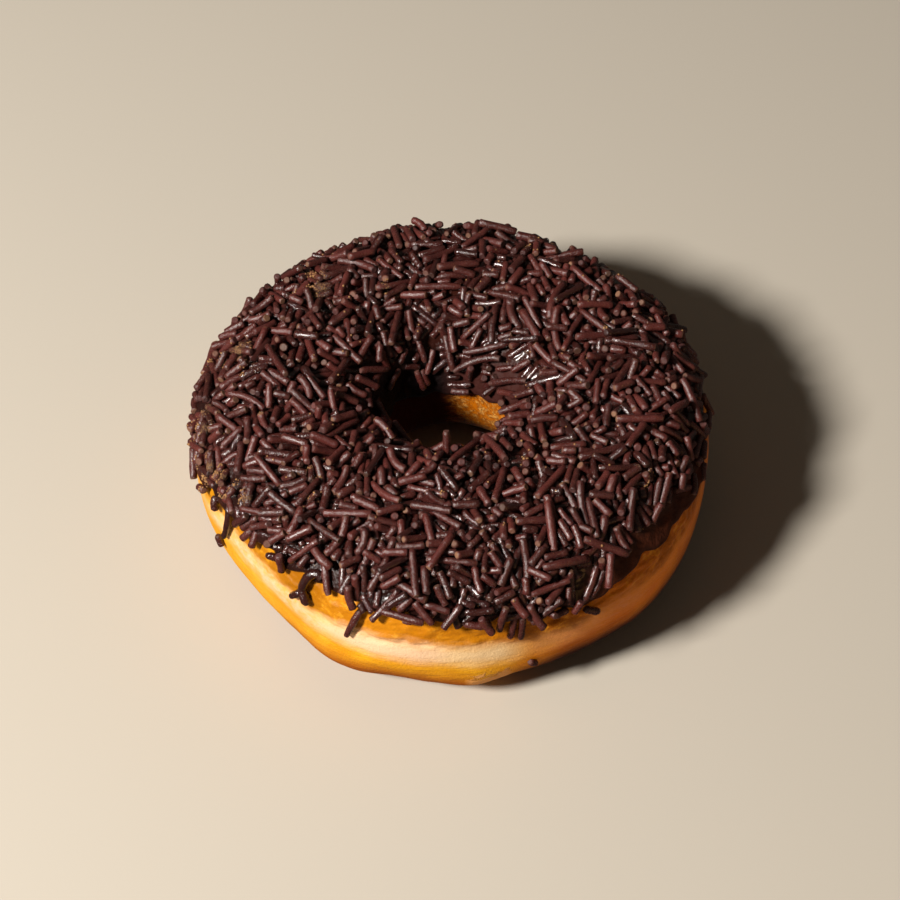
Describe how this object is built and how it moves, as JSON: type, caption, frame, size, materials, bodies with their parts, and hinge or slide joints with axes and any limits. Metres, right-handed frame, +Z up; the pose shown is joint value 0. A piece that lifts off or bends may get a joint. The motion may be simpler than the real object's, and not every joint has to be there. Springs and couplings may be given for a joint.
{
  "type": "sprinkle frosted ring doughnut",
  "caption": "Ring doughnut of raised dough, iced with dark chocolate over its top and rim and covered in chocolate sprinkles.",
  "frame": {"origin": "on the table, under the middle of the doughnut's bounding box", "axes": "+Z up out of the hole, +X and +Y across the ring, with +Y away from the viewer of the reference view"},
  "size_m": [0.0976, 0.0961, 0.0339],
  "materials": {
    "dough": "golden fried dough, satin, with a paler band round its side",
    "icing": "dark chocolate icing, glossy, under satin chocolate sprinkles"
  },
  "bodies": {
    "root": {"dough_ring": "dough", "chocolate_icing": "icing"}
  },
  "joints": []
}
